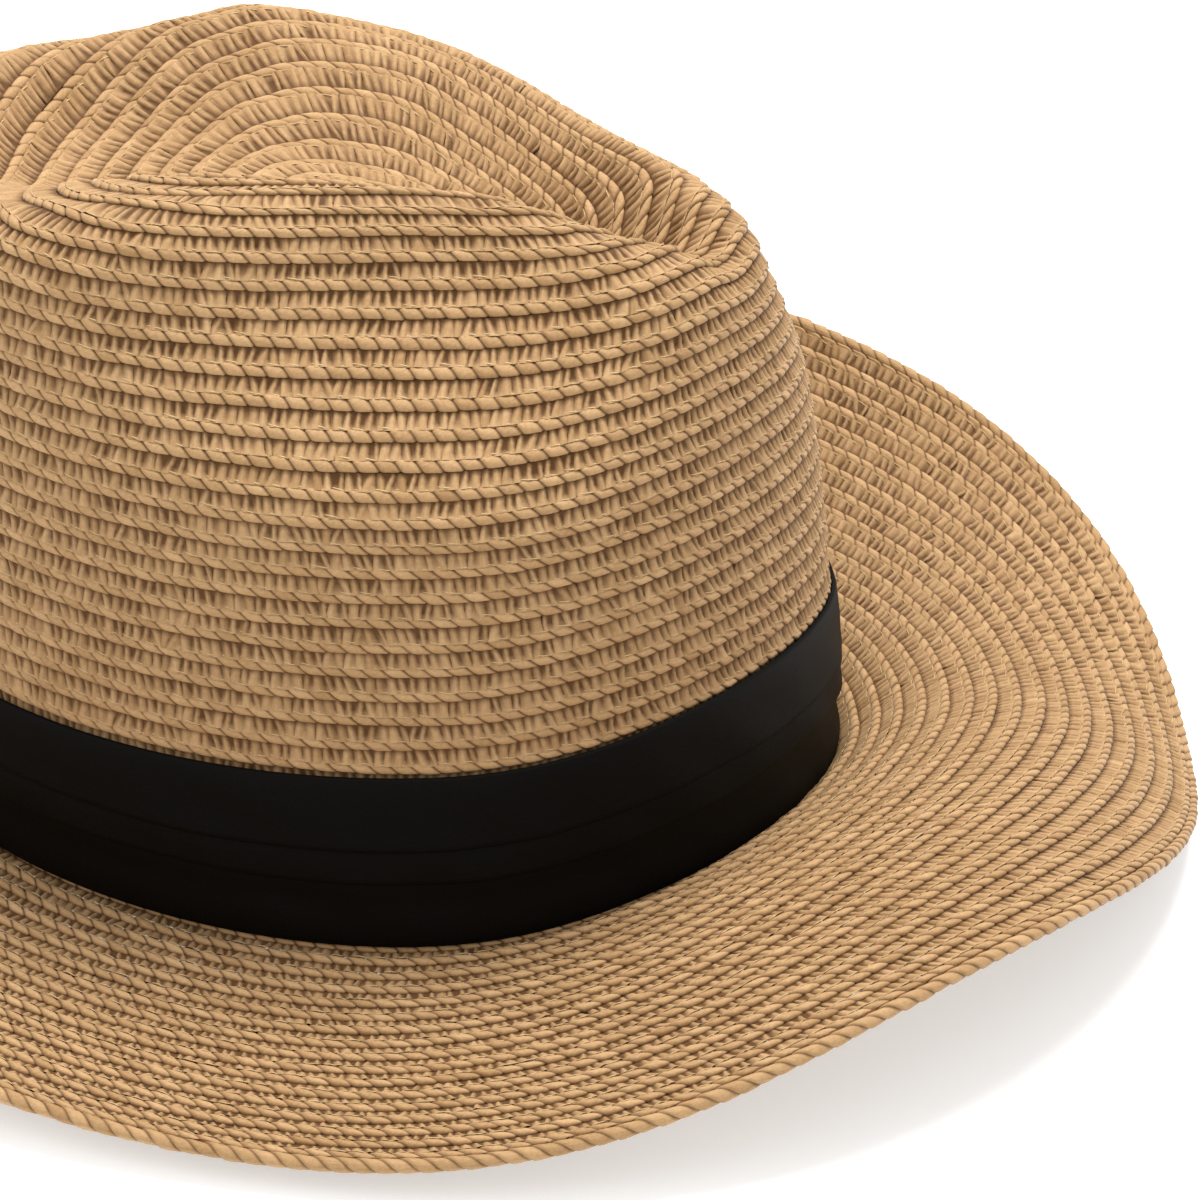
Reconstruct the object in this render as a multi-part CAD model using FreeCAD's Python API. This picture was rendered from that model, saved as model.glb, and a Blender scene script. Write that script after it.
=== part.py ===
import FreeCAD, Part
import math
import os

# Wide-brimmed straw hat with a creased, pinched crown, sewn from one long straw braid.
# Frame: millimetres, +Z up, the front of the hat looks along -Y, the wearer's left is +X.
# The origin is on the floor under the middle of the hat's box; the brim edge stands on z = 0.
# "turn" is the angle round the hat: 0 at the front, 90 degrees on the wearer's left.

# ---- driving dimensions -------------------------------------------------------------------
HEAD_RADIUS = 93.0        # mean outer radius of the crown where the brim joins it
HEAD_OVAL = 5.5           # how much longer than wide: half of (length - width) / 2
HEAD_SQUARE = -1.9        # fourth-order term, fills the corners of the oval
BRIM_WIDTH = 81.7         # along the straw, from the crown to the middle of the edge row
BAND_HEIGHT = 36.0        # ribbon height along the crown wall
STRAW = 1.8               # thickness of the sewn straw
CROWN_HEIGHT = 129.3      # mean height of the crease ridge above the join
SHOULDER_RADIUS = 14.4    # the ridge's rounding before it is creased
CENTRE_HEIGHT = 133.9     # height of the tip's centre before the dent is pressed in
EDGE_RADIUS = 1.6         # outer radius of the last row, turned over the wire
WIRE_RADIUS = 0.6
SLEEVE_RADIUS = 0.95
SLEEVE_LENGTH = 12.0
SWEATBAND_HEIGHT = 30.0
SWEATBAND = 0.8           # thickness
RIBBON = 0.5              # thickness of the flat ribbon
FOLD_EDGES = (2.0, 14.6, 22.0, 36.0)    # heights up the wall where the ribbon's folds meet
GAP = 0.15                # clearance between neighbouring pieces
BUTTON_RADIUS = 7.0       # first coil of the braid at the tip's centre

# ---- the crease ---------------------------------------------------------------------------
DENT_DEPTH = 19.9         # teardrop dent, pressed in along the middle of the tip
DENT_HALF_WIDTH = 51.0    # at the middle of the crown
DENT_POINT_HALF_WIDTH = 10.9            # where the teardrop ends, at the front
DENT_BACK = (-103.0, -69.0)              # from the back it grows over this stretch
DENT_FRONT = (35.0, 88.0)               # and it fades towards the front over this one
PINCH = 0.43              # share of the half width by which the front sides are pressed in
PINCH_CENTRE = 52.0       # ahead of the crown's middle
PINCH_LENGTH = 48.4
PINCH_RISE = (80.0, 132.0)              # heights over which the pinch sets in
DIP = 0.9                 # the ridges sag a little between the dent and the front
DIP_CENTRE = 48.5
DIP_LENGTH = 22.0
RIDGE_REACH = 82.0        # distance from the middle to the ridge, front and back
RIDGE_DROOP_FRONT = 0.0016              # the ridge falls with the square of the distance
RIDGE_DROOP_BACK = 0.0011
RIDGE_WAVES = ((1, 3.5, 1.3), (2, 0.2, -1.6), (3, -1.4, 3.5))
WALL_TOP_ALLOWANCE = 0.62               # the wall stops this share of the radius lower
WALL_COSINE = 0.982       # mean cosine of the wall's lean
BACK_FLARE = 8.8          # degrees by which the wall's foot stands out behind, on the right
BACK_FLARE_TURN = 3.8
TIP_SHIFT = (-7.0, -5.0)  # the braid's centre is off the middle of the tip, within this radius
TIP_SHIFT_RADIUS = 60.0

# The join line between crown and brim is a gentle saddle, and the whole hat leans slightly
# towards the wearer's right as it stands: (front-back, side-side, twice-round) heights.
JOIN_FRONT = -2.2
JOIN_SIDE = -2.8
JOIN_SADDLE = 7.7
JOIN_LEFT_LIFT = 10.5     # the wearer's left side of the join stands this much higher
LEAN = 0.025
STAND_HEIGHT = 2.2 + EDGE_RADIUS

# Slope of the brim in degrees, as waves round the hat: (waves, towards front, towards left).
# The root is where it leaves the crown; the edge is at the outermost row.
ROOT_SLOPE = ((0, 12.1, 0.0), (1, 18.2, 15.8), (2, 3.3, 2.6), (3, 6.3, 0.0))
EDGE_SLOPE = ((0, 3.5, 0.0), (1, -8.3, 6.6), (2, -25.8, -8.8), (3, 0.4, -13.0), (4, 5.9, -6.2))

# ---- grid sizes -----------------------------------------------------------------------------
ROUND = 72                # stations round the hat
WALL_STEPS = 60           # integration steps along a meridian: wall, shoulder and top
SHOULDER_STEPS = 16
TOP_STEPS = 24
WALL_START = 0.0055       # the wall stands on the brim's inner margin
CREASE_SPLIT = 0.40       # share of the meridian where the straight wall becomes the crease
TIP_SPLIT = 0.70          # share of the meridian where the tip begins
TIP_END = 0.972           # the tip ends round the start button


def smooth(low, high, value):
    t = min(1.0, max(0.0, (value - low) / (high - low)))
    return t * t * (3.0 - 2.0 * t)


def waves(terms, turn):
    return sum(c * math.cos(k * turn) + s * math.sin(k * turn) for k, c, s in terms)


def outward(turn):
    return math.sin(turn), -math.cos(turn)


def join_plan(turn):
    """Plan position of the join line: an oval given by its distance in each direction."""
    reach = HEAD_RADIUS + HEAD_OVAL * math.cos(2 * turn) + HEAD_SQUARE * math.cos(4 * turn)
    change = -2 * HEAD_OVAL * math.sin(2 * turn) - 4 * HEAD_SQUARE * math.sin(4 * turn)
    nx, ny = outward(turn)
    return reach * nx - change * ny, reach * ny + change * nx


def left_lift(turn):
    return JOIN_LEFT_LIFT * smooth(0.45, 1.0, math.sin(turn))


def join_height(turn):
    return (JOIN_FRONT * math.cos(turn) + JOIN_SIDE * math.sin(turn)
            + JOIN_SADDLE * math.cos(2 * turn) + left_lift(turn))


def seat(x, y, z):
    """Lean the hat as it stands and lift it so that its edge touches z = 0."""
    return FreeCAD.Vector(x, y, z - LEAN * x + STAND_HEIGHT)


def brim_line(turn, reach, steps=24):
    """Middle surface of the brim, at a distance along the straw from the join."""
    ease = left_lift(turn) / BRIM_WIDTH
    root = math.radians(waves(ROOT_SLOPE, turn)) - ease
    edge = math.radians(waves(EDGE_SLOPE, turn)) - ease
    out = 0.0
    up = join_height(turn)
    step = reach / steps
    for i in range(steps):
        slope = root + (edge - root) * (i + 0.5) * step / BRIM_WIDTH
        out += math.cos(slope) * step
        up += math.sin(slope) * step
    x, y = join_plan(turn)
    nx, ny = outward(turn)
    return seat(x + nx * out, y + ny * out, up)


def ridge_height(turn):
    ahead = RIDGE_REACH * math.cos(turn) - (5.0 - 20.0 * math.sin(turn))
    droop = RIDGE_DROOP_FRONT if ahead > 0 else RIDGE_DROOP_BACK - 0.0009 * math.sin(turn)
    return CROWN_HEIGHT - droop * ahead ** 2 + waves(RIDGE_WAVES, turn)


def wall_slope(turn, climb):
    """Inward lean of the crown wall, radians, at a distance up the wall."""
    t = climb / 100.0
    start = 3.2 * smooth(0.3, 1.0, math.cos(turn - 0.6)) - 0.2
    start -= BACK_FLARE * smooth(0.2, 0.9, math.cos(turn - BACK_FLARE_TURN))
    grow = 7.3 + 1.5 * math.cos(turn) - math.cos(2 * turn)
    curl = 6.8 - 2.5 * math.cos(turn)
    return math.radians(start + grow * t + curl * t * t)


def crown_meridian(turn):
    """Radius and height along one meridian, from the join to the centre of the tip."""
    x, y = join_plan(turn)
    radius = math.hypot(x, y)
    height = join_height(turn)
    line = [(radius, height)]
    wall = (ridge_height(turn) - height - WALL_TOP_ALLOWANCE * SHOULDER_RADIUS) / WALL_COSINE
    step = wall / WALL_STEPS
    for i in range(WALL_STEPS):
        slope = wall_slope(turn, (i + 0.5) * step)
        radius -= math.sin(slope) * step
        height += math.cos(slope) * step
        line.append((radius, height))
    first = wall_slope(turn, wall)
    arc = (math.pi / 2 - first) / SHOULDER_STEPS
    for i in range(SHOULDER_STEPS):
        slope = first + (i + 0.5) * arc
        radius -= math.sin(slope) * SHOULDER_RADIUS * arc
        height += math.cos(slope) * SHOULDER_RADIUS * arc
        line.append((radius, height))
    for i in range(1, TOP_STEPS + 1):
        share = i / TOP_STEPS
        line.append((radius * (1 - share), height + (CENTRE_HEIGHT - height) * smooth(0, 1, share)))
    return line


def press_crown(x, y, z):
    """Pinch the front of the crown and press the teardrop dent into its top."""
    ahead = -y
    pinch = math.exp(-((ahead - PINCH_CENTRE) / PINCH_LENGTH) ** 2)
    side = x * (1 - PINCH * pinch * smooth(*PINCH_RISE, z))
    narrowing = DENT_HALF_WIDTH - DENT_POINT_HALF_WIDTH
    half = DENT_HALF_WIDTH - narrowing * smooth(-5, 80, ahead)
    z -= DIP * math.exp(-((ahead - DIP_CENTRE) / DIP_LENGTH) ** 2) * smooth(60, 120, z)
    depth = DENT_DEPTH * smooth(*DENT_BACK, ahead) * (1 - smooth(*DENT_FRONT, ahead))
    z -= depth * (1 - smooth(0.15, 0.98, abs(side) / half)) * smooth(100, 128, z)
    return seat(side, y, z)


def crown_line(turn, share):
    """Middle surface of the crown: share 0 at the join, 1 at the centre of the tip."""
    line = crown_meridian(turn)
    lengths = [0.0]
    for (r0, z0), (r1, z1) in zip(line, line[1:]):
        lengths.append(lengths[-1] + math.hypot(r1 - r0, z1 - z0))
    goal = share * lengths[-1]
    i = 0
    while i < len(lengths) - 2 and lengths[i + 1] < goal:
        i += 1
    t = (goal - lengths[i]) / (lengths[i + 1] - lengths[i])
    radius = line[i][0] + t * (line[i + 1][0] - line[i][0])
    height = line[i][1] + t * (line[i + 1][1] - line[i][1])
    x, y = join_plan(turn)
    whole = math.hypot(x, y)
    drift = 1 - smooth(0, TIP_SHIFT_RADIUS, radius)
    return press_crown(x / whole * radius + TIP_SHIFT[0] * drift,
                       y / whole * radius + TIP_SHIFT[1] * drift, height)


def crown_length(turn):
    line = crown_meridian(turn)
    return sum(math.hypot(b[0] - a[0], b[1] - a[1]) for a, b in zip(line, line[1:]))


def wall_point(turn, climb):
    """Middle surface of the crown at a distance up the wall from the join."""
    return crown_line(turn, climb / crown_length(turn))


def normal_at(surface, turn, reach, eps):
    """Unit normal of a middle surface, pointing to the outside of the hat."""
    d_turn = surface(turn + 0.01, reach) - surface(turn - 0.01, reach)
    d_reach = surface(turn, reach + eps) - surface(turn, reach - eps)
    return d_turn.cross(d_reach).normalize()


def turns(count=ROUND):
    return [2 * math.pi * i / count for i in range(count)]


def ring_rows(surface, reaches, offset, eps, flip=1.0):
    rows = []
    for reach in reaches:
        row = []
        for turn in turns():
            normal = normal_at(surface, turn, reach, eps)
            row.append(surface(turn, reach) + normal * (offset * flip))
        rows.append(row)
    return rows


def spline_face(rows):
    """A face through control rows, closed round the hat; two rows give a ruled face."""
    degree = min(3, len(rows) - 1)
    spans = len(rows) - degree
    face = Part.BSplineSurface()
    face.buildFromPolesMultsKnots(
        rows,
        [degree + 1] + [1] * (spans - 1) + [degree + 1],
        [1] * (len(rows[0]) + 1),
        [float(i) for i in range(spans + 1)],
        [float(i) for i in range(len(rows[0]) + 1)],
        False, True, degree, 3)
    return face.toShape()


def solid_from(faces):
    shell = Part.Shell(faces)
    shell.sewShape()
    solid = Part.Solid(Part.Shell(shell.Faces))
    if solid.Volume < 0:
        solid.reverse()
    return solid


def ring_shell(surface, reaches, inner, outer, eps, flip=1.0):
    """A closed band of the hat between two offsets from a middle surface."""
    outside = ring_rows(surface, reaches, outer, eps, flip)
    inside = ring_rows(surface, reaches, inner, eps, flip)
    faces = [spline_face(outside), spline_face(inside)]
    faces += [spline_face([outside[0], inside[0]]), spline_face([outside[-1], inside[-1]])]
    return solid_from(faces)


def spread(start, end, count):
    return [start + (end - start) * i / (count - 1.0) for i in range(count)]


def edge_frame(turn):
    """Centre, outward and upward directions of the edge row at one turn."""
    centre = brim_line(turn, BRIM_WIDTH)
    out = (centre - brim_line(turn, BRIM_WIDTH - 1.0)).normalize()
    along = (brim_line(turn + 0.01, BRIM_WIDTH) - brim_line(turn - 0.01, BRIM_WIDTH)).normalize()
    up = out.cross(along).normalize()
    if up.z < 0:
        up = up * -1
    return centre, out, up


def tube_face(section):
    """A face swept round the whole brim edge; section lists (out, up) control points."""
    rows = []
    for out_by, up_by in section:
        row = []
        for turn in turns():
            centre, out, up = edge_frame(turn)
            row.append(centre + out * out_by + up * up_by)
        rows.append(row)
    face = Part.BSplineSurface()
    face.buildFromPolesMultsKnots(
        rows,
        [1] * (len(rows) + 1), [1] * (ROUND + 1),
        [float(i) for i in range(len(rows) + 1)], [float(i) for i in range(ROUND + 1)],
        True, True, 3, 3)
    return face.toShape()


def arc_section(radius, start, end, count):
    return [(radius * math.cos(a), radius * math.sin(a)) for a in spread(start, end, count)]


def patch(surface, turn_mid, half_turn, reaches, inner, outer, eps):
    """A small closed piece lying on the hat: a curved block between two offsets."""
    stations = spread(turn_mid - half_turn, turn_mid + half_turn, 5)

    def sheet(offset):
        rows = []
        for reach in reaches:
            rows.append([surface(t, reach) + normal_at(surface, t, reach, eps) * offset
                         for t in stations])
        return rows

    top = sheet(outer)
    low = sheet(inner)
    faces = [plain_face(top), plain_face(low)]
    faces += [plain_face([top[0], low[0]]), plain_face([top[-1], low[-1]])]
    faces += [plain_face([[r[0] for r in top], [r[0] for r in low]])]
    faces += [plain_face([[r[-1] for r in top], [r[-1] for r in low]])]
    return solid_from(faces)


def plain_face(rows):
    du = min(3, len(rows) - 1)
    dv = min(3, len(rows[0]) - 1)
    us = len(rows) - du
    vs = len(rows[0]) - dv
    face = Part.BSplineSurface()
    face.buildFromPolesMultsKnots(
        rows,
        [du + 1] + [1] * (us - 1) + [du + 1], [dv + 1] + [1] * (vs - 1) + [dv + 1],
        [float(i) for i in range(us + 1)], [float(i) for i in range(vs + 1)],
        False, False, du, dv)
    return face.toShape()


def thread_dash(start, end, radius):
    return Part.makeCylinder(radius, (end - start).Length, start, end - start)


# ---- pieces -----------------------------------------------------------------------------------
def make_crown():
    """The straight wall, the creased shoulder above it and the tip with its dent."""
    half = STRAW / 2
    zones = (("crown_side", WALL_START, CREASE_SPLIT, 16),
             ("crown_crease", CREASE_SPLIT, TIP_SPLIT, 16),
             ("crown_tip", TIP_SPLIT, TIP_END, 22))
    return {name: ring_shell(crown_line, spread(low, high, rows), -half, half, 0.004)
            for name, low, high, rows in zones}


def make_button():
    centre = crown_line(0.0, 1.0)
    disc = Part.makeCylinder(BUTTON_RADIUS, STRAW, centre + FreeCAD.Vector(0, 0, STRAW / 2 + GAP))
    disc = disc.makeFillet(0.6, [disc.Edges[0]])
    return {"start_button": disc}


def make_brim():
    half = STRAW / 2
    reaches = spread(-half, BRIM_WIDTH - EDGE_RADIUS - GAP, 18)
    return {"brim": ring_shell(brim_line, reaches, -half, half, 1.0, -1.0)}


def make_edge():
    """The last row is a C round the wire, open towards the brim."""
    mouth = math.radians(150)
    hollow = SLEEVE_RADIUS + 0.1
    section = arc_section(EDGE_RADIUS, -mouth, mouth, 14)
    section += arc_section(hollow, mouth, -mouth, 14)
    edge = solid_from([tube_face(section)])
    wire = solid_from([tube_face(arc_section(WIRE_RADIUS, 0, 2 * math.pi * 9 / 10, 10))])
    centre, _, _ = edge_frame(math.pi)
    along = edge_frame(math.pi + 0.01)[0] - edge_frame(math.pi - 0.01)[0]
    start = centre - along.normalize() * (SLEEVE_LENGTH / 2)
    sleeve = Part.makeCylinder(SLEEVE_RADIUS, SLEEVE_LENGTH, start, along)
    bore = Part.makeCylinder(WIRE_RADIUS + 0.1, SLEEVE_LENGTH, start, along)
    return {"brim_edge_row": edge, "brim_wire": wire, "wire_joiner": sleeve.cut(bore)}


def make_sweatband():
    outer = -(STRAW / 2 + GAP)
    inner = outer - SWEATBAND
    band = ring_shell(wall_point, spread(1.0, 1.0 + SWEATBAND_HEIGHT, 8), inner, outer, 0.8)
    tape = patch(wall_point, math.pi, 0.07, spread(2.5, SWEATBAND_HEIGHT - 1.0, 6),
                 inner - GAP - 0.5, inner - GAP, 0.8)
    label = patch(wall_point, math.pi + 0.26, 0.1, spread(8.0, 24.0, 5),
                  inner - GAP - 0.4, inner - GAP, 0.8)
    dashes = []
    count = 80
    for i in range(count):
        turn = 2 * math.pi * i / count
        ends = []
        for t in (turn, turn + 0.045):
            normal = normal_at(wall_point, t, 4.0, 0.8)
            ends.append(wall_point(t, 1.6) + normal * (inner - GAP - 0.75))
        dashes.append(thread_dash(ends[0], ends[1], 0.2))
    return {"sweatband": band, "sweatband_seam_tape": tape, "size_label": label,
            "sweatband_stitching": Part.makeCompound(dashes)}


def make_ribbon():
    under = STRAW / 2 + GAP
    pieces = {"ribbon_backing": ring_shell(
        wall_point, spread(FOLD_EDGES[0], BAND_HEIGHT, 10), under, under + RIBBON, 0.8)}
    low = under + RIBBON + GAP
    for i, name in enumerate(("lower", "middle", "upper")):
        heights = spread(FOLD_EDGES[i] + GAP, FOLD_EDGES[i + 1] - GAP, 6)
        pieces["ribbon_%s_fold" % name] = ring_shell(
            wall_point, heights, low, low + 2 * RIBBON, 0.8)
    top = low + 2 * RIBBON + GAP
    pieces["ribbon_wrap"] = patch(wall_point, math.pi / 2, 0.09, spread(2.2, BAND_HEIGHT, 8),
                                  top, top + 2 * RIBBON, 0.8)
    tacks = []
    for i in range(4):
        turn = math.pi / 2 + 0.03 * (i - 1.5)
        normal = normal_at(wall_point, turn, BAND_HEIGHT, 0.8)
        foot = wall_point(turn, BAND_HEIGHT + 0.6) + normal * (under + 0.3)
        head = wall_point(turn, BAND_HEIGHT + 2.6) + normal * (under + 0.3)
        tacks.append(thread_dash(foot, head, 0.25))
    pieces["ribbon_tack_stitches"] = Part.makeCompound(tacks)
    return pieces


def main():
    os.makedirs("parts", exist_ok=True)
    pieces = {}
    for make in (make_crown, make_button, make_brim, make_edge, make_sweatband, make_ribbon):
        pieces.update(make())
    whole = FreeCAD.BoundBox()
    for shape in pieces.values():
        whole.add(shape.BoundBox)
    middle = FreeCAD.Vector(-whole.Center.x, -whole.Center.y, -whole.ZMin)
    print("box", whole, "shift", middle)
    for name, shape in pieces.items():
        shape.translate(middle)
        shape.exportStep("parts/%s.step" % name)
        print("%-24s valid %s solids %d volume %.0f" % (
            name, shape.isValid(), len(shape.Solids), shape.Volume))


main()
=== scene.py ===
import math

import bpy
import numpy as np
from mathutils import Matrix, Vector


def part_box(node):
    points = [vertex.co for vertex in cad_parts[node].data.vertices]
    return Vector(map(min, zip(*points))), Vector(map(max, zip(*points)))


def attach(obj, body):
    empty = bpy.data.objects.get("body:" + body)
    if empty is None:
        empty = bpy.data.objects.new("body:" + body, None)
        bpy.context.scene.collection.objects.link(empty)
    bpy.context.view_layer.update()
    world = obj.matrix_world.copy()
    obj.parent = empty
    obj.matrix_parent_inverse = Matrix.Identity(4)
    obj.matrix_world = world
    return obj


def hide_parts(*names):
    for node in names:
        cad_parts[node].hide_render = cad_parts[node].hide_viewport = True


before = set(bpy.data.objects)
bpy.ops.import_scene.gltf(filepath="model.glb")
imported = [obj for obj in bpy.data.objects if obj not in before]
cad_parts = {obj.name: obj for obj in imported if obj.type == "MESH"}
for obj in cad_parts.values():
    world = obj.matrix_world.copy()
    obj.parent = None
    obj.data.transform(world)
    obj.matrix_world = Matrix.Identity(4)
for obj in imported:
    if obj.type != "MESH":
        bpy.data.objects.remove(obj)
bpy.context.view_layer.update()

# Straw sun hat. Lengths in this script are millimetres until a mesh is made; Blender gets metres.
# "turn" is the angle round the hat: 0 at the front (-Y), 90 degrees on the wearer's left (+X).
MM = 0.001

# ---- the hat's sizes, as in the CAD part ------------------------------------------------------
HEAD_RADIUS = 93.0
HEAD_OVAL = 5.5
HEAD_SQUARE = -1.9
BRIM_WIDTH = 81.7
BAND_HEIGHT = 36.0
CROWN_HEIGHT = 129.3
SHOULDER_RADIUS = 14.4
CENTRE_HEIGHT = 133.9
EDGE_RADIUS = 1.6
DENT_DEPTH = 19.9
DENT_HALF_WIDTH = 51.0
DENT_POINT_HALF_WIDTH = 10.9
DENT_BACK = (-103.0, -69.0)
DENT_FRONT = (35.0, 88.0)
PINCH = 0.43
PINCH_CENTRE = 52.0
PINCH_LENGTH = 48.4
PINCH_RISE = (80.0, 132.0)
DIP = 0.9
DIP_CENTRE = 48.5
DIP_LENGTH = 22.0
RIDGE_REACH = 82.0
RIDGE_DROOP_FRONT = 0.0016
RIDGE_DROOP_BACK = 0.0011
RIDGE_WAVES = ((1, 3.5, 1.3), (2, 0.2, -1.6), (3, -1.4, 3.5))
WALL_TOP_ALLOWANCE = 0.62
WALL_COSINE = 0.982
BACK_FLARE = 8.8
BACK_FLARE_TURN = 3.8
TIP_SHIFT = (-7.0, -5.0)
TIP_SHIFT_RADIUS = 60.0
JOIN_FRONT = -2.2
JOIN_SIDE = -2.8
JOIN_SADDLE = 7.7
JOIN_LEFT_LIFT = 10.5
LEAN = 0.025
ROOT_SLOPE = ((0, 12.1, 0.0), (1, 18.2, 15.8), (2, 3.3, 2.6), (3, 6.3, 0.0))
EDGE_SLOPE = ((0, 3.5, 0.0), (1, -8.3, 6.6), (2, -25.8, -8.8), (3, 0.4, -13.0), (4, 5.9, -6.2))

# steps of each meridian over the wall, the shoulder and the tip
WALL_STEPS = 60
SHOULDER_STEPS = 16
TIP_STEPS = 24
BRIM_SPARE = 4.0          # the brim's surface is known this far past its edge
RIDGE_SHARE = 0.75        # the ridge line lies this share of a shoulder radius past the wall

# ---- the braid ----------------------------------------------------------------------------------
BRIM_ROWS = 16.5          # turns of braid on the brim
CROWN_ROWS = 38.7         # turns from the join to the centre of the tip
LOW_PITCH = 4.9           # the rows lie this far apart at the crown's foot
HIGH_PITCH = 4.8          # and this far apart at its ridge, RIDGE_ROWS turns above
RIDGE_ROWS = 28.0
PLAIT = 3.9               # length of one plait along the braid
START_ROWS = 0.2          # the first turn begins under the start button
BRAID = 5.2               # visible width of the braid as usually sewn
RIBS = 3.2                # width of its flat ribbed part; the rest is the raised selvedge
SELVEDGE_MIDDLE = 4.45    # middle of the selvedge, across the braid
SELVEDGE_HALF = 1.08      # half its width
SELVEDGE_SLANT = 1.15     # its lozenges lean this far along for each millimetre across
SEAM = 3.15               # the sewing thread's place across the braid
STITCH_LENGTH = 3.7
THREAD_RADIUS = 0.11
ROPE_RADIUS = 1.34        # of the edge row, rolled over the wire
EDGE_MARGIN = 1.3         # the brim's braid stops this far inside the edge

# ---- the start button --------------------------------------------------------------------------
COIL_ROUNDS = 2.25
COIL_PLAITS = 22
COIL_STEPS = 90           # steps in one round
COIL_START = 0.6          # reach of the coil from the tip's centre, where it begins
COIL_GROWTH = 5.55        # and how much further out it ends
COIL_RADIUS = 1.3
COIL_FLATNESS = 0.75      # height of the coiled braid against its width
COIL_RISE = 0.75          # height of the coil's middle above the crown's surface
KNOT_RADIUS = 1.9
KNOT_HALF_HEIGHT = 0.7
KNOT_SINK = 0.2
POLE = 0.02               # radians left open at the knot's two poles

# ---- ribbon and sweatband ----------------------------------------------------------------------
FOLD_TOP = 36.9
FOLD_FLOOR = 1.2
RIBBON_THICKNESS = 0.42
BACKING_FLOOR = 1.6
BACKING_RISE = 1.5
BACKING_THICKNESS = 0.35
BACKING_POINTS = 9
KEEPER_HALF_ANGLE = 0.088
SWEATBAND_THICKNESS = 0.75


# ==== shape of the hat ===========================================================================
def smooth(low, high, value):
    t = np.clip((value - low) / (high - low), 0.0, 1.0)
    return t * t * (3.0 - 2.0 * t)


def waves(terms, turn):
    return sum(c * np.cos(k * turn) + s * np.sin(k * turn) for k, c, s in terms)


def join_plan(turn):
    reach = HEAD_RADIUS + HEAD_OVAL * np.cos(2 * turn) + HEAD_SQUARE * np.cos(4 * turn)
    change = -2 * HEAD_OVAL * np.sin(2 * turn) - 4 * HEAD_SQUARE * np.sin(4 * turn)
    nx, ny = np.sin(turn), -np.cos(turn)
    return reach * nx - change * ny, reach * ny + change * nx


def left_lift(turn):
    return JOIN_LEFT_LIFT * smooth(0.45, 1.0, np.sin(turn))


def join_height(turn):
    return (JOIN_FRONT * np.cos(turn) + JOIN_SIDE * np.sin(turn)
            + JOIN_SADDLE * np.cos(2 * turn) + left_lift(turn))


def lean(x, y, z):
    return np.stack([x, y, z - LEAN * x], -1)


def brim_surface(turn, reach, steps=24):
    """Middle surface of the brim, at a distance along the straw from the join."""
    ease = left_lift(turn) / BRIM_WIDTH
    root = np.radians(waves(ROOT_SLOPE, turn)) - ease
    edge = np.radians(waves(EDGE_SLOPE, turn)) - ease
    out = 0.0
    up = join_height(turn)
    step = reach / steps
    for i in range(steps):
        slope = root + (edge - root) * (i + 0.5) * step / BRIM_WIDTH
        out = out + np.cos(slope) * step
        up = up + np.sin(slope) * step
    x, y = join_plan(turn)
    return lean(x + np.sin(turn) * out, y - np.cos(turn) * out, up)


def ridge_height(turn):
    ahead = RIDGE_REACH * np.cos(turn) - (5.0 - 20.0 * np.sin(turn))
    droop = np.where(ahead > 0, RIDGE_DROOP_FRONT, RIDGE_DROOP_BACK - 0.0009 * np.sin(turn))
    return CROWN_HEIGHT - droop * ahead ** 2 + waves(RIDGE_WAVES, turn)


def wall_slope(turn, climb):
    """Inward lean of the crown wall, radians, at a distance up the wall."""
    t = climb / 100.0
    start = 3.2 * smooth(0.3, 1.0, np.cos(turn - 0.6)) - 0.2
    start -= BACK_FLARE * smooth(0.2, 0.9, np.cos(turn - BACK_FLARE_TURN))
    grow = 7.3 + 1.5 * np.cos(turn) - np.cos(2 * turn)
    curl = 6.8 - 2.5 * np.cos(turn)
    return np.radians(start + grow * t + curl * t * t)


def crown_meridians(turn):
    """Lengths, radii and heights along each meridian, from the join to the tip's centre."""
    radius = np.hypot(*join_plan(turn))
    height = join_height(turn)
    radii = [radius]
    heights = [height]
    wall = (ridge_height(turn) - height - WALL_TOP_ALLOWANCE * SHOULDER_RADIUS) / WALL_COSINE
    step = wall / WALL_STEPS
    for i in range(WALL_STEPS):
        slope = wall_slope(turn, (i + 0.5) * step)
        radius = radius - np.sin(slope) * step
        height = height + np.cos(slope) * step
        radii.append(radius)
        heights.append(height)
    first = wall_slope(turn, wall)
    arc = (math.pi / 2 - first) / SHOULDER_STEPS
    for i in range(SHOULDER_STEPS):
        slope = first + (i + 0.5) * arc
        radius = radius - np.sin(slope) * SHOULDER_RADIUS * arc
        height = height + np.cos(slope) * SHOULDER_RADIUS * arc
        radii.append(radius)
        heights.append(height)
    for i in range(1, TIP_STEPS + 1):
        share = i / TIP_STEPS
        radii.append(radius * (1 - share))
        heights.append(height + (CENTRE_HEIGHT - height) * smooth(0, 1, share))
    radii = np.array(radii)
    heights = np.array(heights)
    spans = np.hypot(np.diff(radii, axis=0), np.diff(heights, axis=0))
    return np.vstack([0 * radii[:1], np.cumsum(spans, 0)]), radii, heights


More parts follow.
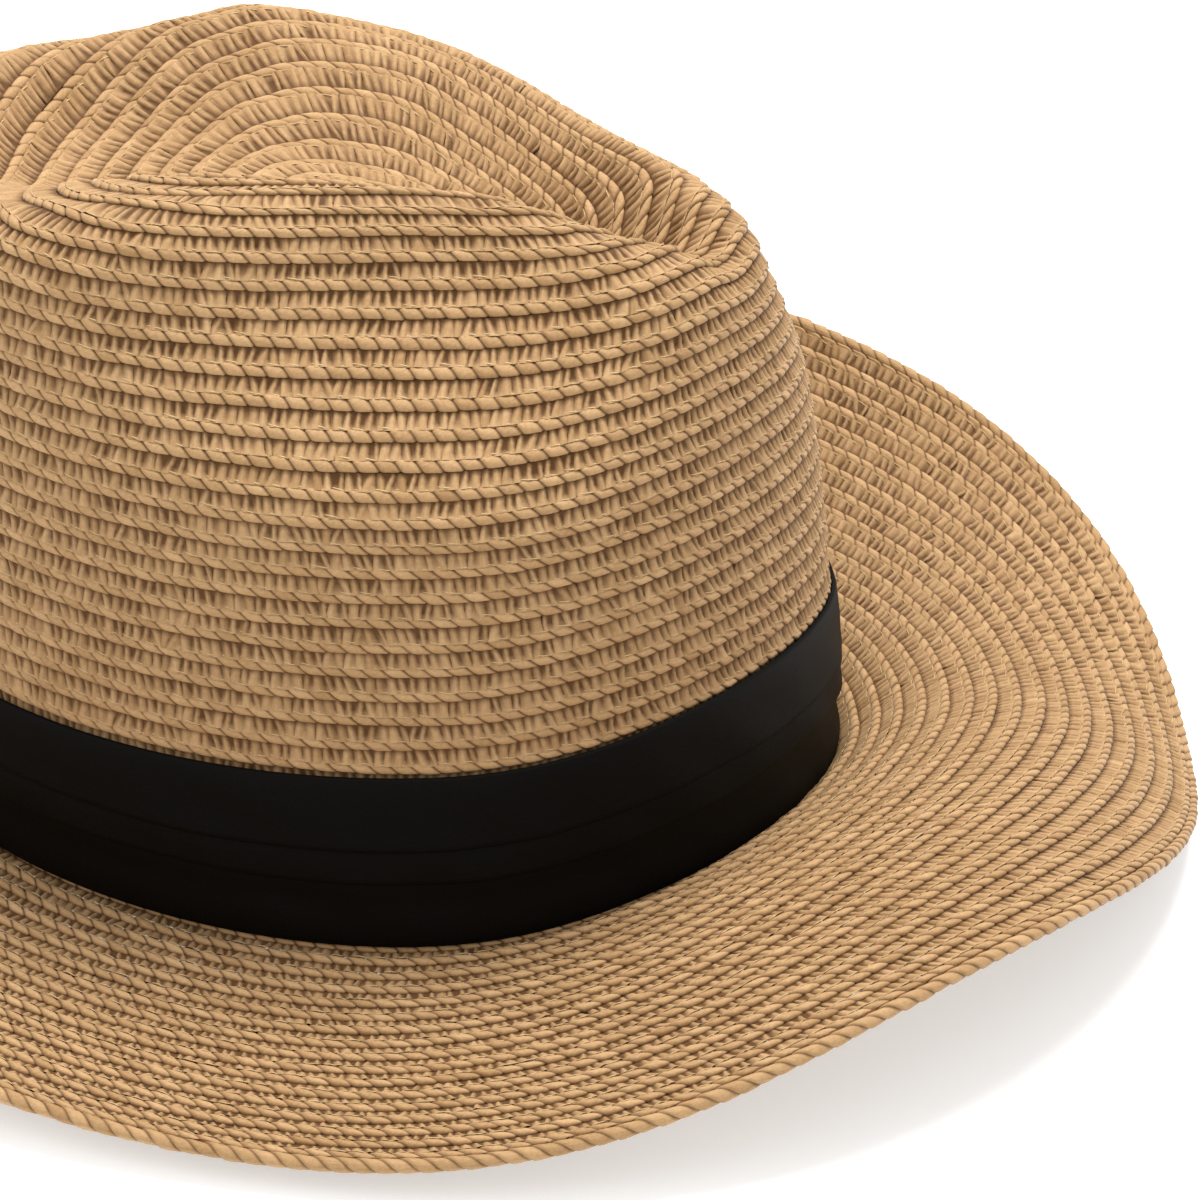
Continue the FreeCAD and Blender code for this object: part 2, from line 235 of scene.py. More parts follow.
def press_crown(x, y, z):
    """Pinch the front of the crown and press the teardrop dent into its top."""
    ahead = -y
    pinch = np.exp(-((ahead - PINCH_CENTRE) / PINCH_LENGTH) ** 2)
    side = x * (1 - PINCH * pinch * smooth(*PINCH_RISE, z))
    narrowing = DENT_HALF_WIDTH - DENT_POINT_HALF_WIDTH
    half = DENT_HALF_WIDTH - narrowing * smooth(-5, 80, ahead)
    z = z - DIP * np.exp(-((ahead - DIP_CENTRE) / DIP_LENGTH) ** 2) * smooth(60, 120, z)
    depth = DENT_DEPTH * smooth(*DENT_BACK, ahead) * (1 - smooth(*DENT_FRONT, ahead))
    z = z - depth * (1 - smooth(0.15, 0.98, np.abs(side) / half)) * smooth(100, 128, z)
    return lean(side, y, z)


class Surface:
    """A middle surface kept as a fine grid, closed round the hat, that can be read anywhere."""

    def __init__(self, points, low, high, flip):
        self.points = points
        self.low = low
        self.high = high
        rows, columns = points.shape[:2]
        along = np.roll(points, -1, 1) - np.roll(points, 1, 1)
        across = np.gradient(points, axis=0)
        normal = np.cross(along, across) * flip
        length = np.linalg.norm(normal, axis=2, keepdims=True)
        self.normals = normal / np.maximum(length, 1e-9)
        self.rows = rows
        self.columns = columns

    def read(self, turn, reach):
        u = (reach - self.low) / (self.high - self.low) * (self.rows - 1)
        u = np.clip(u, 0, self.rows - 1.001)
        v = (turn / (2 * math.pi) % 1.0) * self.columns
        i = u.astype(int)
        j = v.astype(int) % self.columns
        k = (j + 1) % self.columns
        fu = (u - i)[..., None]
        fv = (v - np.floor(v))[..., None]
        found = []
        for grid in (self.points, self.normals):
            near = grid[i, j] * (1 - fv) + grid[i, k] * fv
            far = grid[i + 1, j] * (1 - fv) + grid[i + 1, k] * fv
            found.append(near * (1 - fu) + far * fu)
        return found

    def at(self, turn, reach, rise):
        point, normal = self.read(turn, reach)
        return point + normal * rise[..., None]


def ring_of_turns(count=720):
    return np.arange(count) * 2 * math.pi / count


def make_crown_surfaces():
    """The crown by share of the meridian (0 join, 1 centre), and its wall by distance climbed."""
    turn = ring_of_turns()
    lengths, radii, heights = crown_meridians(turn)
    x, y = join_plan(turn)
    whole = np.hypot(x, y)

    def grid(goals):
        rs = np.empty(goals.shape)
        zs = np.empty(goals.shape)
        for j in range(len(turn)):
            rs[:, j] = np.interp(goals[:, j], lengths[:, j], radii[:, j])
            zs[:, j] = np.interp(goals[:, j], lengths[:, j], heights[:, j])
        drift = 1 - smooth(0, TIP_SHIFT_RADIUS, rs)
        return press_crown(x / whole * rs + TIP_SHIFT[0] * drift,
                           y / whole * rs + TIP_SHIFT[1] * drift, zs)

    shares = np.linspace(0, 1, 420)[:, None]
    climbs = np.linspace(0, 60, 61)[:, None] + 0 * turn
    crown = Surface(grid(shares * lengths[-1]), 0.0, 1.0, 1.0)
    wall = Surface(grid(climbs), 0.0, 60.0, 1.0)
    ridge = lengths[WALL_STEPS] + RIDGE_SHARE * SHOULDER_RADIUS
    return crown, wall, ridge, lengths[-1]


def make_brim_surface():
    turn = ring_of_turns()
    reach = np.linspace(0, BRIM_WIDTH + BRIM_SPARE, 240)[:, None]
    return Surface(brim_surface(turn + 0 * reach, reach), 0.0, BRIM_WIDTH + BRIM_SPARE, -1.0)


def frame_shift(brim):
    """Where the CAD frame has the hat: the middle of its edge row against the same row here."""
    turn = ring_of_turns()
    edge = brim.at(turn, BRIM_WIDTH + 0 * turn, 0 * turn)
    low, high = (np.array(corner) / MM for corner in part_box("brim_edge_row"))
    return (low + high) / 2 - (edge.min(0) + edge.max(0)) / 2


# ==== mesh helpers ===============================================================================
def add_mesh(name, verts, quads, uv=None, values=None):
    """A smooth-shaded mesh of quads; verts in millimetres, uv per vertex, values by name."""
    mesh = bpy.data.meshes.new(name)
    mesh.vertices.add(len(verts))
    mesh.vertices.foreach_set("co", (verts * MM).astype(np.float32).ravel())
    mesh.loops.add(quads.size)
    mesh.loops.foreach_set("vertex_index", quads.astype(np.int32).ravel())
    mesh.polygons.add(len(quads))
    mesh.polygons.foreach_set("loop_start", np.arange(0, quads.size, 4, dtype=np.int32))
    mesh.polygons.foreach_set("use_smooth", np.ones(len(quads), dtype=bool))
    if uv is not None:
        layer = mesh.uv_layers.new(name="straw")
        layer.uv.foreach_set("vector", uv[quads.ravel()].astype(np.float32).ravel())
    for key, value in (values or {}).items():
        attribute = mesh.attributes.new(key, "FLOAT", "POINT")
        attribute.data.foreach_set("value", value.astype(np.float32))
    mesh.update()
    mesh.validate()
    piece = bpy.data.objects.new(name, mesh)
    bpy.context.scene.collection.objects.link(piece)
    return piece


def grid_quads(rows, columns, start=0, close_rows=False, close_columns=False, flip=False):
    """Quads of a grid whose vertex (row, column) is start + row * columns + column."""
    r = np.arange(rows if close_rows else rows - 1)[:, None]
    c = np.arange(columns if close_columns else columns - 1)[None, :]
    r2 = (r + 1) % rows
    c2 = (c + 1) % columns
    corners = [r * columns + c, r * columns + c2, r2 * columns + c2, r2 * columns + c]
    if flip:
        corners.reverse()
    return np.stack(corners, -1).reshape(-1, 4) + start


class Heap:
    """Collects grids of vertices into one mesh."""

    def __init__(self):
        self.verts = []
        self.quads = []
        self.uv = []
        # tint is the straw's own tone, plait by plait; the second value is painted shade in pits,
        # gaps and tucks
        self.values = {"tint": [], "hollow": []}
        self.count = 0

    def add(self, points, uv, tint, hollow, **quad_options):
        rows, columns = points.shape[:2]
        self.quads.append(grid_quads(rows, columns, self.count, **quad_options))
        self.verts.append(points.reshape(-1, 3))
        self.uv.append(np.broadcast_to(uv, (rows, columns, 2)).reshape(-1, 2))
        self.values["tint"].append(np.broadcast_to(tint, (rows, columns)).ravel())
        self.values["hollow"].append(np.broadcast_to(hollow, (rows, columns)).ravel())
        self.count += rows * columns

    def make(self, name):
        values = {key: np.concatenate(parts) for key, parts in self.values.items()}
        return add_mesh(name, np.concatenate(self.verts), np.concatenate(self.quads),
                        np.concatenate(self.uv), values)


# ==== the sewn braid =============================================================================
class Route:
    """The line that the braid follows: turn and row number against length along the braid."""

    def __init__(self, surface, pitch_of, first, last, start_turn, reach_of, seed):
        self.surface = surface
        self.pitch_of = pitch_of
        self.reach_of = reach_of
        steps = int((last - first) * 720)
        self.row = np.linspace(first, last, steps)
        self.turn = start_turn + (self.row - first) * 2 * math.pi
        middle = surface.at(self.turn, reach_of(self.turn, self.row + 0.5), 0 * self.row)
        spans = np.linalg.norm(np.diff(middle, axis=0), axis=1)
        self.length = np.concatenate([[0], np.cumsum(spans)])
        self.plaits = int(self.length[-1] / PLAIT)
        self.random = np.random.default_rng(seed)
        self.sway = self.random.uniform(0, 2 * math.pi, 12)

    def wobble(self, s, amount, kind):
        """Slow unevenness of hand-fed sewing along the braid."""
        total = 0.0
        for i, wave in enumerate((61.0, 137.0, 229.0, 33.0)):
            total = total + np.sin(s * 2 * math.pi / wave + self.sway[(i + 3 * kind) % 12])
        return total * amount / 2.0

    def place(self, s, w, rise):
        """Point at a length along the braid, a distance across it and a height above it."""
        turn = np.interp(s, self.length, self.turn)
        row = np.interp(s, self.length, self.row)
        pitch = self.pitch_of(turn, row)
        w = w + self.wobble(s, 0.10, 0)
        row = row + np.where(w > RIBS, 1 - (BRAID - w) / pitch,
                             w / RIBS * (1 - (BRAID - RIBS) / pitch))
        rise = rise + self.wobble(s, 0.05, 1)
        return self.surface.at(turn, self.reach_of(turn, row), rise)


def per_plait(rng, first, last, spread, parts=1):
    return rng.normal(0, spread, (last - first + 2) * parts)


def rib_strip(route, heap, first, last, fine, side):
    """The flat part of the braid: two ribs to a plait, with pits between them."""
    phases = np.array([0.0, 0.17, 0.45, 0.80]) if fine else np.array([0.0, 0.5])
    domes = np.array([0.0, 0.60, 1.0, 0.40]) if fine else np.array([0.0, 1.0])
    across = np.array([0.1, 0.8, 1.5, 2.4, 3.7]) if fine else np.array([0.2, 1.6, 3.7])
    ribs = (last - first) * 2
    index = np.repeat(np.arange(ribs), len(phases))
    phase = np.tile(phases, ribs)
    rng = np.random.default_rng(route.random.integers(1 << 30))
    width = per_plait(rng, first, last, 0.09, 2)[index]
    hook = per_plait(rng, first, last, 0.16, 2)[index]
    bulge = per_plait(rng, first, last, 0.07, 2)[index]
    deep = 0.35 + np.abs(per_plait(rng, first, last, 0.8, 2))[index] + 0.15 * (index % 2)
    colour = per_plait(rng, first, last, 1.0, 2)[index]
    s = (first + (index + phase + width * (phase > 0)) / 2) * PLAIT
    s, w = np.meshgrid(s, across, indexing="xy")
    dome = np.tile(domes, ribs)
    slope = 0.05 + 0.15 * w
    pit = smooth(3.1, 2.0, w) * smooth(0.3, 1.2, w)
    groove = (0.15 + 0.90 * pit) * deep * (1 - dome)
    tuck = smooth(1.05, 0.5, w)
    rise = side * np.maximum(slope + 0.34 - groove + bulge * dome - 0.35 * tuck, 0.04)
    # Painted shade: darker in the pits between ribs, and a painted shadow on the strip where the
    # row above lies over this one.
    hollow = (1 - dome) * deep * (0.20 + 1.1 * pit) + 1.1 * tuck
    skew = (0.12 + hook) * (w - 1.5)
    across_row = w if side > 0 else BRAID - w
    points = route.place(s + skew, across_row, rise)
    uv = np.stack([w * 0.4, s], -1)
    heap.add(points, uv, colour, np.clip(hollow, 0, 1), flip=(side < 0))


def lozenge_strip(route, heap, first, last, fine, side):
    """The braid's raised selvedge: one slanted lozenge to a plait, like half a twisted rope."""
    phases = np.array([0.0, 0.09, 0.28, 0.55, 0.82, 0.95]) if fine else np.array([0.0, 0.3, 0.7])
    angles = np.radians([172, 142, 112, 82, 50, 15, -28] if fine else [165, 115, 55, -15])
    plaits = last - first
    index = np.repeat(np.arange(plaits), len(phases))
    phase = np.tile(phases, plaits)
    rng = np.random.default_rng(route.random.integers(1 << 30))
    bulge = per_plait(rng, first, last, 0.06)[index]
    fat = per_plait(rng, first, last, 0.05)[index]
    colour = per_plait(rng, first, last, 1.0)[index]
    gap = np.exp(-(np.minimum(phase, 1 - phase) / 0.075) ** 2)
    s = (first + index + phase) * PLAIT
    s, angle = np.meshgrid(s, angles, indexing="xy")
    round_w = SELVEDGE_HALF * (1 + fat - 0.20 * gap)
    w = SELVEDGE_MIDDLE + round_w * np.cos(angle)
    crest = np.sin(angle)
    twist = 0.34 * (0.5 - phase) * (1 - gap)
    rise = 0.22 + (0.84 + bulge - 0.42 * gap + twist) * crest
    # Painted shade in the gaps between lozenges and where each lozenge turns down at its outer
    # side.
    hollow = np.clip(0.95 * gap + 0.95 * smooth(0.40, -0.2, crest) * (angle < 1.6), 0, 1)
    skew = SELVEDGE_SLANT * (w - SELVEDGE_MIDDLE)
    across_row = w if side > 0 else BRAID - w
    points = route.place(s + skew, across_row, side * rise)
    uv = np.stack([s * 0.4, w + 0.35 * s], -1)
    heap.add(points, uv, colour, hollow, flip=(side < 0))


def braid_piece(name, route, first, last, fine_under):
    heap = Heap()
    for side, fine in ((1, True), (-1, fine_under)):
        rib_strip(route, heap, first, last, fine, side)
        lozenge_strip(route, heap, first, last, fine, side)
    return heap.make(name)


def thread_dashes(name, route):
    """The sewing thread: one pale stitch to a plait, lying along the selvedge's inner side."""
    sides = 4
    shares = np.array([0.0, 0.12, 0.5, 0.88, 1.0])
    count = route.plaits
    rng = np.random.default_rng(route.random.integers(1 << 30))
    start = (np.arange(count) + rng.normal(0, 0.05, count)) * PLAIT
    long = STITCH_LENGTH + rng.normal(0, 0.25, count)
    lift = rng.normal(0, 0.05, count)
    w0 = SEAM + rng.normal(0, 0.10, count)
    s = start[:, None] + long[:, None] * shares
    w = w0[:, None] + 0.55 * shares[None, :]
    rise = 0.82 + lift[:, None] - 0.5 * (np.abs(2 * shares - 1) ** 3)[None, :]
    around = np.arange(sides) * 2 * math.pi / sides
    thick = THREAD_RADIUS * np.sqrt(np.clip(1 - (2 * shares - 1) ** 6, 0.05, 1))
    w = w[:, :, None] + thick[None, :, None] * np.cos(around)
    rise = rise[:, :, None] + thick[None, :, None] * np.sin(around)
    points = route.place(s[:, :, None] + 0 * around, w, rise)
    verts = points.reshape(-1, 3)
    one = grid_quads(len(shares), sides, 0, close_columns=True)
    step = len(shares) * sides
    caps = np.array([np.arange(sides)[::-1], np.arange(step - sides, step)])
    one = np.concatenate([one, caps])
    quads = (one[None] + (np.arange(count) * step)[:, None, None]).reshape(-1, 4)
    uv = np.zeros((len(verts), 2))
    uv[:, 0] = np.repeat(s.ravel(), sides)
    return add_mesh(name, verts, quads, uv)


def edge_row(brim):
    """The last row, rolled over the wire: a rope of slanted lozenges all round."""
    turn = ring_of_turns(2880)
    core = brim.at(turn, BRIM_WIDTH + 0 * turn, 0 * turn)
    length = np.concatenate([[0], np.cumsum(np.linalg.norm(np.diff(core, axis=0), axis=1))])
    whole = length[-1] + np.linalg.norm(core[0] - core[-1])
    plaits = int(round(whole / PLAIT))
    phases = np.array([0.0, 0.1, 0.3, 0.55, 0.8, 0.93])
    index = np.repeat(np.arange(plaits), len(phases))
    phase = np.tile(phases, plaits)
    angles = np.arange(14) * 2 * math.pi / 14
    rng = np.random.default_rng(77)
    bulge = rng.normal(0, 0.05, plaits)[index]
    colour = rng.normal(0, 1.0, plaits)[index]
    s = (index + phase) / plaits
    s, angle = np.meshgrid(s, angles, indexing="xy")
    bend = np.where(angle > math.pi, angle - 2 * math.pi, angle)
    s = s - 2.0 * bend / 2 / math.pi / plaits
    gap = np.exp(-(np.minimum(phase, 1 - phase) / 0.09) ** 2)
    radius = ROPE_RADIUS * (1 + bulge - 0.20 * gap + 0.22 * (0.5 - phase) * (1 - gap))
    at_turn = np.interp(s % 1.0 * whole, np.append(length, whole), np.append(turn, 2 * math.pi))
    point, up = brim.read(at_turn, BRIM_WIDTH - 0.1 + 0 * at_turn)
    inner, _ = brim.read(at_turn, BRIM_WIDTH - 1.1 + 0 * at_turn)
    out = point - inner
    out = out / np.linalg.norm(out, axis=-1, keepdims=True)
    around = out * np.cos(angle)[..., None] + up * np.sin(angle)[..., None]
    points = point + around * radius[..., None]
    heap = Heap()
    # Painted shade in the gaps between the rope's lozenges.
    hollow = np.clip(0.9 * gap, 0, 1)
    uv = np.stack([s * whole * 0.4, angle * 1.4], -1)
    heap.add(points, uv, colour, hollow, close_rows=True, close_columns=True, flip=True)
    return heap.make("brim_edge_braid")


def start_coil(crown):
    """The first coil of the braid, a small flat snail at the tip's centre."""
    count = int(COIL_ROUNDS * COIL_STEPS)
    along = np.linspace(0, 1, count)
    turn = 2 * math.pi * COIL_ROUNDS * along
    reach = COIL_START + COIL_GROWTH * along
    centre = crown.at(np.array([0.0]), np.array([1.0]), np.array([COIL_RISE]))[0]
    angles = np.arange(10) * 2 * math.pi / 10
    thick = COIL_RADIUS * np.sqrt(np.clip(1 - (2 * along - 1) ** 14, 0.02, 1))
    phase = (along * COIL_PLAITS) % 1.0
    gap = np.exp(-(np.minimum(phase, 1 - phase) / 0.12) ** 2)
    radius = (thick * (1 - 0.15 * gap))[None, :]
    angle = angles[:, None]
    out = reach[None, :] + radius * np.cos(angle)
    points = np.stack([out * np.sin(turn), -out * np.cos(turn),
                       COIL_FLATNESS * radius * np.sin(angle) + 0 * turn], -1) + centre
    heap = Heap()
    uv = np.stack([np.broadcast_to(along * 40, out.shape), angle * 1.3 + 0 * out], -1)
    tint = np.random.default_rng(5).normal(0, 1, 24)[(along * COIL_PLAITS).astype(int)]
    # Painted shade in the gaps between the coil's plaits.
    heap.add(points, uv, tint, 0.9 * gap, close_rows=True, flip=True)
    # the braid's folded end, a flat knot that fills the middle of the first round
    round_it = (np.arange(16) * 2 * math.pi / 16)[:, None]
    fall = np.linspace(POLE, math.pi - POLE, 9)[None, :]
    knot = np.stack([KNOT_RADIUS * np.sin(fall) * np.sin(round_it),
                     -KNOT_RADIUS * np.sin(fall) * np.cos(round_it),
                     KNOT_HALF_HEIGHT * np.cos(fall) - KNOT_SINK + 0 * round_it], -1) + centre
    knot_uv = np.stack([fall + 0 * round_it, round_it + 0 * fall], -1)
    # The knot, sunk inside the first round, gets a little of the same darkening all over.
    heap.add(knot, knot_uv, 0.0, 0.25, close_rows=True, flip=True)
    return heap.make("start_coil")


# ==== ribbon and sweatband =======================================================================
def closed_band(name, wall, climbs, rises, thick, columns=480, wander=None):
    """A closed strip of cloth round the crown wall: profile points climb and stand off it."""
    turn = ring_of_turns(columns)[None, :]
    climb = np.array(climbs, float)[:, None] + 0 * turn
    rise = np.array(rises, float)[:, None] + 0 * turn
    if wander is not None:
        climb, rise = wander(turn, climb, rise)
    outer = np.stack([climb, rise], -1)
    inner = np.stack([climb, rise - thick], -1)[::-1]
    loop = np.concatenate([outer, inner])
    turns = np.broadcast_to(turn, loop.shape[:2])
    points = wall.at(turns, loop[..., 0], loop[..., 1])
    along = turns * HEAD_RADIUS
    heap = Heap()
    uv = np.stack([along, loop[..., 0]], -1)
    heap.add(points, uv, 0.0, 0.0, close_rows=True, close_columns=True)
    piece = heap.make(name)
    edges = np.linalg.norm(np.diff(points[:len(climbs)], axis=0), axis=2).sum(0).mean()
    middle = points[len(climbs) // 2]
    around = np.linalg.norm(middle - np.roll(middle, 1, 0), axis=1).sum()
    return piece, (round(edges * MM, 4), round(around * MM, 4))


def slow_wave(turn, seed, amount, waves_to=7):
    rng = np.random.default_rng(seed)
    total = 0.0
    for k in range(1, waves_to):
        total = total + rng.normal(0, 1.0 / k) * np.sin(k * turn + rng.uniform(0, 6.28))
    return amount * total


FOLDS = {
    # name: (seed, [(height up the wall, stand-off)] from the fold's upper end to its lower end)
    "ribbon_upper_fold": (31, [(36.6, 1.55), (36.9, 1.95), (36.2, 2.2), (33.5, 2.35), (30.0, 2.45),
                               (27.0, 2.55), (24.5, 2.75), (22.8, 3.0), (21.9, 3.05), (21.5, 2.8)]),
    "ribbon_middle_fold": (32, [(25.6, 1.8), (23.2, 1.9), (21.8, 2.1), (20.2, 2.45), (18.6, 2.65),
                                (17.0, 2.7), (15.8, 2.85), (14.9, 2.85), (14.5, 2.6)]),
    "ribbon_lower_fold": (33, [(16.2, 1.7), (14.6, 1.95), (13.2, 2.0), (11.4, 1.8), (9.6, 1.75),
                               (7.8, 2.05), (6.0, 2.3), (4.2, 2.4), (2.6, 2.35), (1.6, 2.2),
                               (1.2, 1.9)]),
}


def ribbon_fold(name, wall):
    seed, profile = FOLDS[name]
    climbs = [point[0] for point in profile]
    rises = [point[1] for point in profile]

    def wander(turn, climb, rise):
        inside = smooth(0.0, 6.0, FOLD_TOP - climb) * smooth(0.0, 6.0, climb - FOLD_FLOOR)
        climb = climb + inside * slow_wave(turn, 30, 0.55)
        rise = rise + 0.35 * inside * slow_wave(turn, seed, 0.5, 12)
        ripple = np.sin(23 * turn + 0.35 * climb) * np.sin(5 * turn + seed)
        return climb, rise + 0.20 * inside * ripple
    return closed_band(name, wall, climbs, rises, RIBBON_THICKNESS, wander=wander)


def ribbon_keeper(wall):
    """The short upright ribbon that hides the join, wrapped over both edges."""
    profile = [(34.0, 1.3), (37.3, 1.4), (38.0, 2.4), (37.2, 3.5), (33, 3.75), (28, 3.8), (22, 4.1),
               (16, 4.0), (10, 3.7), (4, 3.6), (1.6, 3.5), (1.0, 3.1)]
    across = np.linspace(-1, 1, 29)
    turn = math.pi / 2 + KEEPER_HALF_ANGLE * across[None, :]
    climb = np.array([point[0] for point in profile])[:, None] + 0 * turn
    rise = np.array([point[1] for point in profile])[:, None] + 0 * turn
    body = smooth(0, 5, rise - 0.5) * smooth(0.9, 1.6, rise)
    pleat = 0.16 * np.cos(across * 9.5) - 0.55 * np.abs(across) ** 10
    rise = rise + body * pleat[None, :]
    climb = climb - 0.25 * np.cos(across * 3)[None, :]
    loop_climb = np.concatenate([climb, climb[::-1]])
    loop_rise = np.concatenate([rise, rise[::-1] - RIBBON_THICKNESS])
    turns = np.broadcast_to(turn, loop_rise.shape)
    points = wall.at(turns, loop_climb, loop_rise)
    heap = Heap()
    uv = np.stack([loop_climb, turns * HEAD_RADIUS], -1)
    heap.add(points, uv, 0.0, 0.0, close_rows=True)
    rows = len(loop_rise)
    half = len(profile)
    caps = []
    for column, turned in ((0, False), (len(across) - 1, True)):
        for i in range(half - 1):
            quad = [i, i + 1, rows - 2 - i, rows - 1 - i]
            quad = [q * len(across) + column for q in quad]
            caps.append(quad[::-1] if turned else quad)
    heap.quads.append(np.array(caps))
    piece = heap.make("ribbon_keeper")
    long = np.hypot(np.diff([p[0] for p in profile]), np.diff([p[1] for p in profile])).sum()
    return piece, (round(2 * KEEPER_HALF_ANGLE * HEAD_RADIUS * MM, 4), round(long * MM, 4))


def sweatband(wall):
    """A ribbed cotton band inside the crown, looser and wavier towards its upper edge."""
    profile = [(31.0, -1.35), (30.2, -1.15), (26, -1.1), (20, -1.12), (14, -1.12), (8, -1.1),
               (4, -1.08), (2.2, -1.05), (1.2, -1.1)]
    climbs = [point[0] for point in profile]
    rises = [point[1] for point in profile]

    def wander(turn, climb, rise):
        loose = smooth(16, 31, climb)
        return climb + 0.4 * loose * slow_wave(turn, 51, 0.6), rise - 0.35 * loose * (
            0.5 + 0.5 * np.sin(9 * turn + slow_wave(turn, 52, 1.2)))
    return closed_band("sweatband_cloth", wall, climbs, rises, SWEATBAND_THICKNESS,
                       wander=wander)


# ==== materials ==================================================================================
class Nodes:
    """Small helper to write a material's node tree."""

    def __init__(self, name):
        self.material = bpy.data.materials.new(name)
        self.material.use_nodes = True
        self.tree = self.material.node_tree
        self.shader = self.tree.nodes["Principled BSDF"]

    def add(self, kind, values=None, **settings):
        node = self.tree.nodes.new(kind)
        for key, value in settings.items():
            setattr(node, key, value)
        for key, value in (values or {}).items():
            node.inputs[key].default_value = value
        return node

    def link(self, source, target):
        self.tree.links.new(source, target)

    def math(self, operation, a, b=0.0, clamp=False):
        node = self.add("ShaderNodeMath", operation=operation, use_clamp=clamp)
        for socket, value in zip(node.inputs, (a, b)):
            if isinstance(value, (int, float)):
                socket.default_value = value
            else:
                self.link(value, socket)
        return node.outputs[0]

    def mix(self, share, a, b, blend="MIX"):
        node = self.add("ShaderNodeMix", data_type="RGBA", blend_type=blend)
        for socket, value in ((node.inputs[0], share), (node.inputs[6], a), (node.inputs[7], b)):
            if isinstance(value, (int, float)):
                socket.default_value = value
            elif isinstance(value, tuple):
                socket.default_value = (*value, 1.0)
            else:
                self.link(value, socket)
        return node.outputs[2]

    def noise(self, vector, scale, detail=2.0, rough=0.5):
        values = {"Scale": scale, "Detail": detail, "Roughness": rough}
        node = self.add("ShaderNodeTexNoise", values)
        self.link(vector, node.inputs["Vector"])
        return node.outputs["Fac"]

    def stretched(self, vector, scale):
        node = self.add("ShaderNodeMapping")
        node.inputs["Scale"].default_value = scale
        self.link(vector, node.inputs["Vector"])
        return node.outputs[0]

    def bump(self, height, strength, distance):
        node = self.add("ShaderNodeBump", {"Strength": strength, "Distance": distance})
        self.link(height, node.inputs["Height"])
        self.link(node.outputs[0], self.shader.inputs["Normal"])


STRAW_LIGHT = (0.57, 0.365, 0.185)
STRAW_MID = (0.44, 0.270, 0.128)
STRAW_DARK = (0.28, 0.152, 0.058)
# Colour of the painted shade in the straw's pits, gaps and tucks.
STRAW_PAINTED_SHADE = (0.080, 0.030, 0.006)


def straw_material():
    """Twisted paper straw: tinted plait by plait, with painted shade in its pits, gaps and tucks,
    and fine lengthwise fibres.
    """
    n = Nodes("paper_straw")
    uv = n.add("ShaderNodeUVMap", uv_map="straw").outputs[0]
    place = n.add("ShaderNodeTexCoord").outputs["Object"]
    tint = n.add("ShaderNodeAttribute", attribute_name="tint").outputs["Fac"]
    hollow = n.add("ShaderNodeAttribute", attribute_name="hollow").outputs["Fac"]
    fibre = n.noise(n.stretched(uv, (0.5, 3.4, 1.0)), 1.0, 3.0, 0.6)
    patch = n.noise(place, 24.0, 3.0, 0.6)
    grain = n.noise(place, 1300.0, 3.0, 0.7)
    shade = n.math("ADD", n.math("MULTIPLY", tint, 0.15), n.math("MULTIPLY", fibre, 0.55))
    shade = n.math("ADD", shade, n.math("MULTIPLY", patch, 0.5))
    shade = n.math("ADD", shade, n.math("MULTIPLY", grain, 1.1))
    colour = n.mix(n.math("SUBTRACT", shade, 0.60, clamp=True), STRAW_DARK, STRAW_LIGHT)
    colour = n.mix(0.35, colour, STRAW_MID)
    # Painted shade: mixes the dark shade colour in wherever the mesh marks pits, gaps and tucks.
    depth = n.math("MULTIPLY", n.math("POWER", hollow, 1.15), 0.93, clamp=True)
    colour = n.mix(depth, colour, STRAW_PAINTED_SHADE)
    n.link(colour, n.shader.inputs["Base Color"])
    n.shader.inputs["Roughness"].default_value = 0.6
    n.shader.inputs["Specular IOR Level"].default_value = 0.14
    n.shader.inputs["Sheen Weight"].default_value = 0.05
    n.bump(n.math("ADD", fibre, n.math("MULTIPLY", grain, 0.5)), 0.55, 0.00025)
    return n.material


def cloth_material(name, dark, light, roughness, ribs, sheen, bump=0.3, specular=0.06):
    """Woven cloth: crossed threads in two directions, a little uneven, with a soft sheen."""
    n = Nodes(name)
    uv = n.add("ShaderNodeUVMap", uv_map="straw").outputs[0]
    place = n.add("ShaderNodeTexCoord").outputs["Object"]
    parts = n.add("ShaderNodeSeparateXYZ")
    n.link(uv, parts.inputs[0])
    warp = n.math("SINE", n.math("MULTIPLY", parts.outputs[0], ribs[0] * 2 * math.pi))
    weft = n.math("SINE", n.math("MULTIPLY", parts.outputs[1], ribs[1] * 2 * math.pi))
    weave = n.math("ADD", n.math("MULTIPLY", warp, 0.5), n.math("MULTIPLY", weft, 0.5))
    uneven = n.noise(n.stretched(uv, (0.25, 2.0, 1.0)), 1.0, 4.0, 0.65)
    cloudy = n.noise(place, 30.0, 3.0, 0.5)
    shade = n.math("ADD", n.math("MULTIPLY", weave, 0.16), n.math("MULTIPLY", uneven, 0.6))
    shade = n.math("ADD", shade, n.math("MULTIPLY", cloudy, 0.4))
    n.link(n.mix(n.math("SUBTRACT", shade, 0.05, clamp=True), dark, light),
           n.shader.inputs["Base Color"])
    n.shader.inputs["Roughness"].default_value = roughness
    n.shader.inputs["Specular IOR Level"].default_value = specular
    n.shader.inputs["Sheen Weight"].default_value = sheen
    n.shader.inputs["Sheen Roughness"].default_value = 0.5
    n.bump(n.math("ADD", n.math("MULTIPLY", weave, 0.5), uneven), bump, 0.00012)
    return n.material


def thread_material(name, dark, light, roughness):
    n = Nodes(name)
    place = n.add("ShaderNodeTexCoord").outputs["Object"]
    twist = n.noise(place, 900.0, 2.0, 0.5)
    slow = n.noise(place, 60.0, 2.0, 0.5)
    n.link(n.mix(n.math("ADD", n.math("MULTIPLY", twist, 0.5), n.math("MULTIPLY", slow, 0.5)),
                 dark, light), n.shader.inputs["Base Color"])
    n.shader.inputs["Roughness"].default_value = roughness
    n.bump(twist, 0.3, 0.0001)
    return n.material


